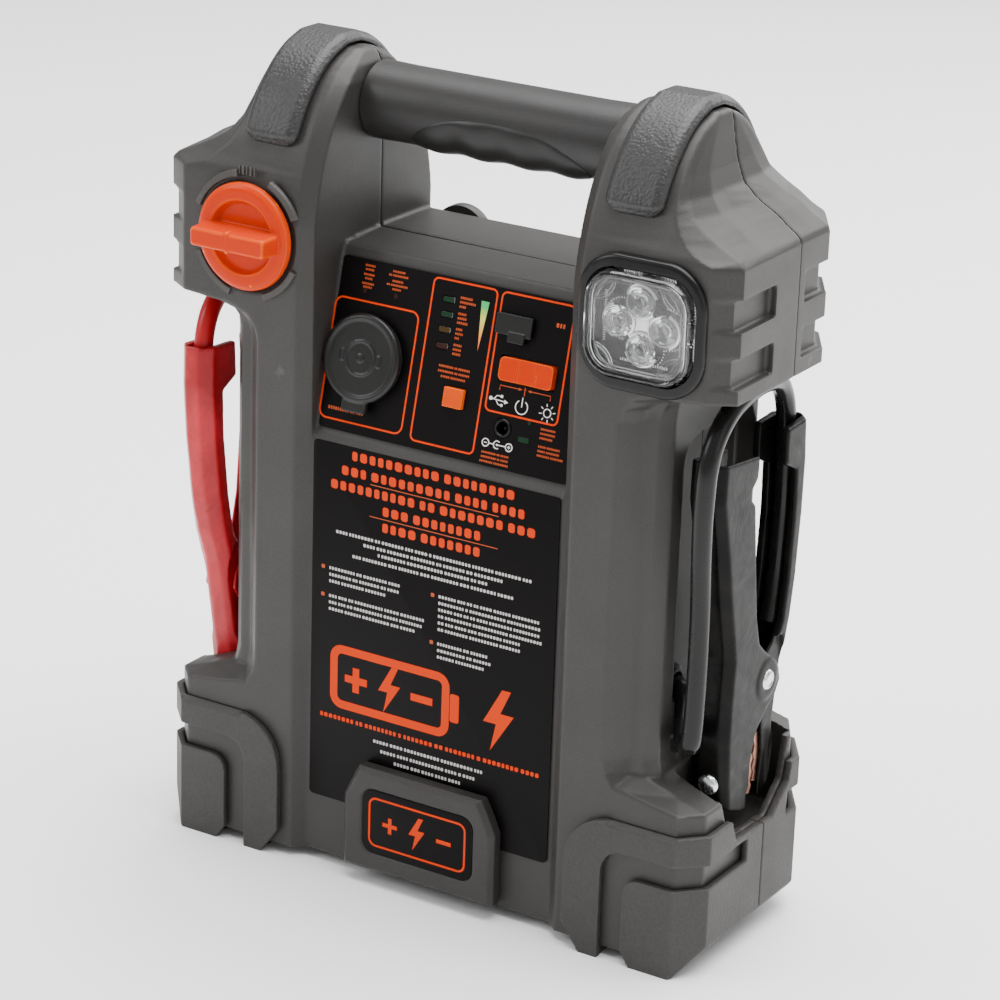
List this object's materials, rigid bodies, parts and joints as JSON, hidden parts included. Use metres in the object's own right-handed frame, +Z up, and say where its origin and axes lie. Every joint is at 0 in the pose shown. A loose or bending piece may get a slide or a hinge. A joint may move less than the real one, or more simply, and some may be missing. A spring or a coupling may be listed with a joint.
{
  "type": "jump starter pack",
  "caption": "Upright portable 12 V battery pack with a carry handle, stowed jumper clamps, work lamp, 12 V socket, USB outlet and built-in tyre compressor.",
  "frame": {"origin": "centre of the bounding box on the floor plane", "axes": "+Z up, +X towards the lamp and the black clamp, -Y towards the control panel"},
  "size_m": [0.2592, 0.1096, 0.34],
  "materials": {
    "housing": "fine moulded grain",
    "bumper": "coarse spark-eroded texture",
    "pad": "pebble grain",
    "handle": "satin with fine grain",
    "label": "satin printed film",
    "knob_orange": "glossy, slightly translucent",
    "black_trim": "satin",
    "lens": "clear polycarbonate",
    "reflector": "vacuum metallised",
    "white_plastic": "smooth",
    "steel": "zinc plated",
    "copper": "copper plated steel",
    "brass": "turned",
    "black_vinyl": "semi-gloss dipped vinyl",
    "red_vinyl": "semi-gloss dipped vinyl",
    "board": "green circuit board",
    "battery_case": "moulded case"
  },
  "bodies": {
    "housing": {"front_shell": "housing", "rear_shell": "housing", "front_left_bumper": "bumper", "front_right_bumper": "bumper", "rear_left_bumper": "bumper", "rear_right_bumper": "bumper", "badge_plate": "bumper", "left_arch_pad": "pad", "right_arch_pad": "pad", "handle_bar": "handle", "handle_grip": "handle", "front_label": "label", "control_label": "label", "rotary_switch": "black_trim", "socket_barrel": "black_trim", "dc_jack": "black_trim", "lamp_bezel": "black_trim", "gauge_body": "black_trim", "black_cable_gland": "black_trim", "red_cable_gland": "black_trim", "lamp_lens": "lens", "gauge_lens": "lens", "lamp_reflector": "reflector", "level_light_pipe": "white_plastic", "lamp_led_board": "white_plastic", "usb_port": "steel", "battery_terminal_negative": "steel", "battery_terminal_positive": "steel", "compressor_motor": "steel", "compressor_pump": "steel", "black_clamp_rivet": "steel", "red_clamp_rivet": "steel", "black_clamp_spring": "steel", "red_clamp_spring": "steel", "black_jaw_plate_b": "copper", "red_jaw_plate_b": "copper", "socket_contact": "brass", "hose_outlet": "brass", "black_clamp_handle": "black_vinyl", "black_cable": "black_vinyl", "red_clamp_handle": "red_vinyl", "red_cable": "red_vinyl", "control_board": "board", "battery": "battery_case"},
    "power_knob": {"power_knob": "knob_orange"},
    "socket_cap": {"socket_cap": "black_trim"},
    "usb_flap": {"usb_flap": "black_trim"},
    "mode_rocker": {"mode_rocker": "knob_orange"},
    "battery_check_button": {"battery_check_button": "knob_orange"},
    "compressor_switch": {"compressor_switch": "knob_orange"},
    "gauge_needle": {"gauge_needle": "knob_orange"},
    "motor_pinion": {"motor_pinion": "brass"},
    "crank_gear": {"crank_gear": "white_plastic"},
    "black_clamp_jaw": {"black_clamp_jaw": "black_vinyl", "black_jaw_plate_a": "copper", "black_jaw_rivet": "steel"},
    "red_clamp_jaw": {"red_clamp_jaw": "red_vinyl", "red_jaw_plate_a": "copper", "red_jaw_rivet": "steel"}
  },
  "joints": [
    {"name": "power_knob_turn", "type": "hinge", "parent": "housing", "child": "power_knob", "pos_m": [-0.0882, -0.0405, 0.2639], "axis": [0, -1, 0], "range_deg": [0, 90]},
    {"name": "socket_cap_hinge", "type": "hinge", "parent": "housing", "child": "socket_cap", "pos_m": [-0.0404, -0.02465, 0.23763], "axis": [-1, 0, 0], "range_deg": [0, 100]},
    {"name": "usb_flap_hinge", "type": "hinge", "parent": "housing", "child": "usb_flap", "pos_m": [0.025, -0.02036, 0.24811], "axis": [-1, 0, 0], "range_deg": [0, 90]},
    {"name": "mode_rocker_tilt", "type": "hinge", "parent": "housing", "child": "mode_rocker", "pos_m": [0.0334, -0.02356, 0.22687], "axis": [0, 0.236, 0.9718], "range_deg": [-8, 8]},
    {"name": "battery_check_push", "type": "slide", "parent": "housing", "child": "battery_check_button", "axis": [0, 0.9718, -0.236], "range_m": [0, 0.0016], "stiffness_N_per_m": 200},
    {"name": "compressor_switch_tilt", "type": "hinge", "parent": "housing", "child": "compressor_switch", "pos_m": [0, 0.0485, 0.225], "axis": [1, 0, 0], "range_deg": [-8, 8]},
    {"name": "gauge_needle_swing", "type": "hinge", "parent": "housing", "child": "gauge_needle", "pos_m": [-0.0455, 0.05135, 0.251], "axis": [0, -1, 0], "range_deg": [0, 270], "stiffness_Nm_per_rad": 0.0005},
    {"name": "crank_gear_spin", "type": "hinge", "parent": "housing", "child": "crank_gear", "pos_m": [-0.004, 0.0175, 0.16335], "axis": [1, 0, 0], "continuous": true},
    {"name": "motor_pinion_spin", "type": "hinge", "parent": "housing", "child": "motor_pinion", "pos_m": [-0.004, 0.0175, 0.14], "axis": [1, 0, 0], "continuous": true},
    {"name": "black_clamp_squeeze", "type": "hinge", "parent": "housing", "child": "black_clamp_jaw", "pos_m": [0.11385, 0.0195, 0.1067], "axis": [-1, 0, 0], "range_deg": [0, 8], "stiffness_Nm_per_rad": 2},
    {"name": "red_clamp_squeeze", "type": "hinge", "parent": "housing", "child": "red_clamp_jaw", "pos_m": [-0.11581, -0.0085, 0.10666], "axis": [0.9991, 0, -0.0419], "range_deg": [0, 8], "stiffness_Nm_per_rad": 2}
  ],
  "couplings": [
    {"joint": "motor_pinion_spin", "follows": "crank_gear_spin", "ratio": -3.6}
  ]
}
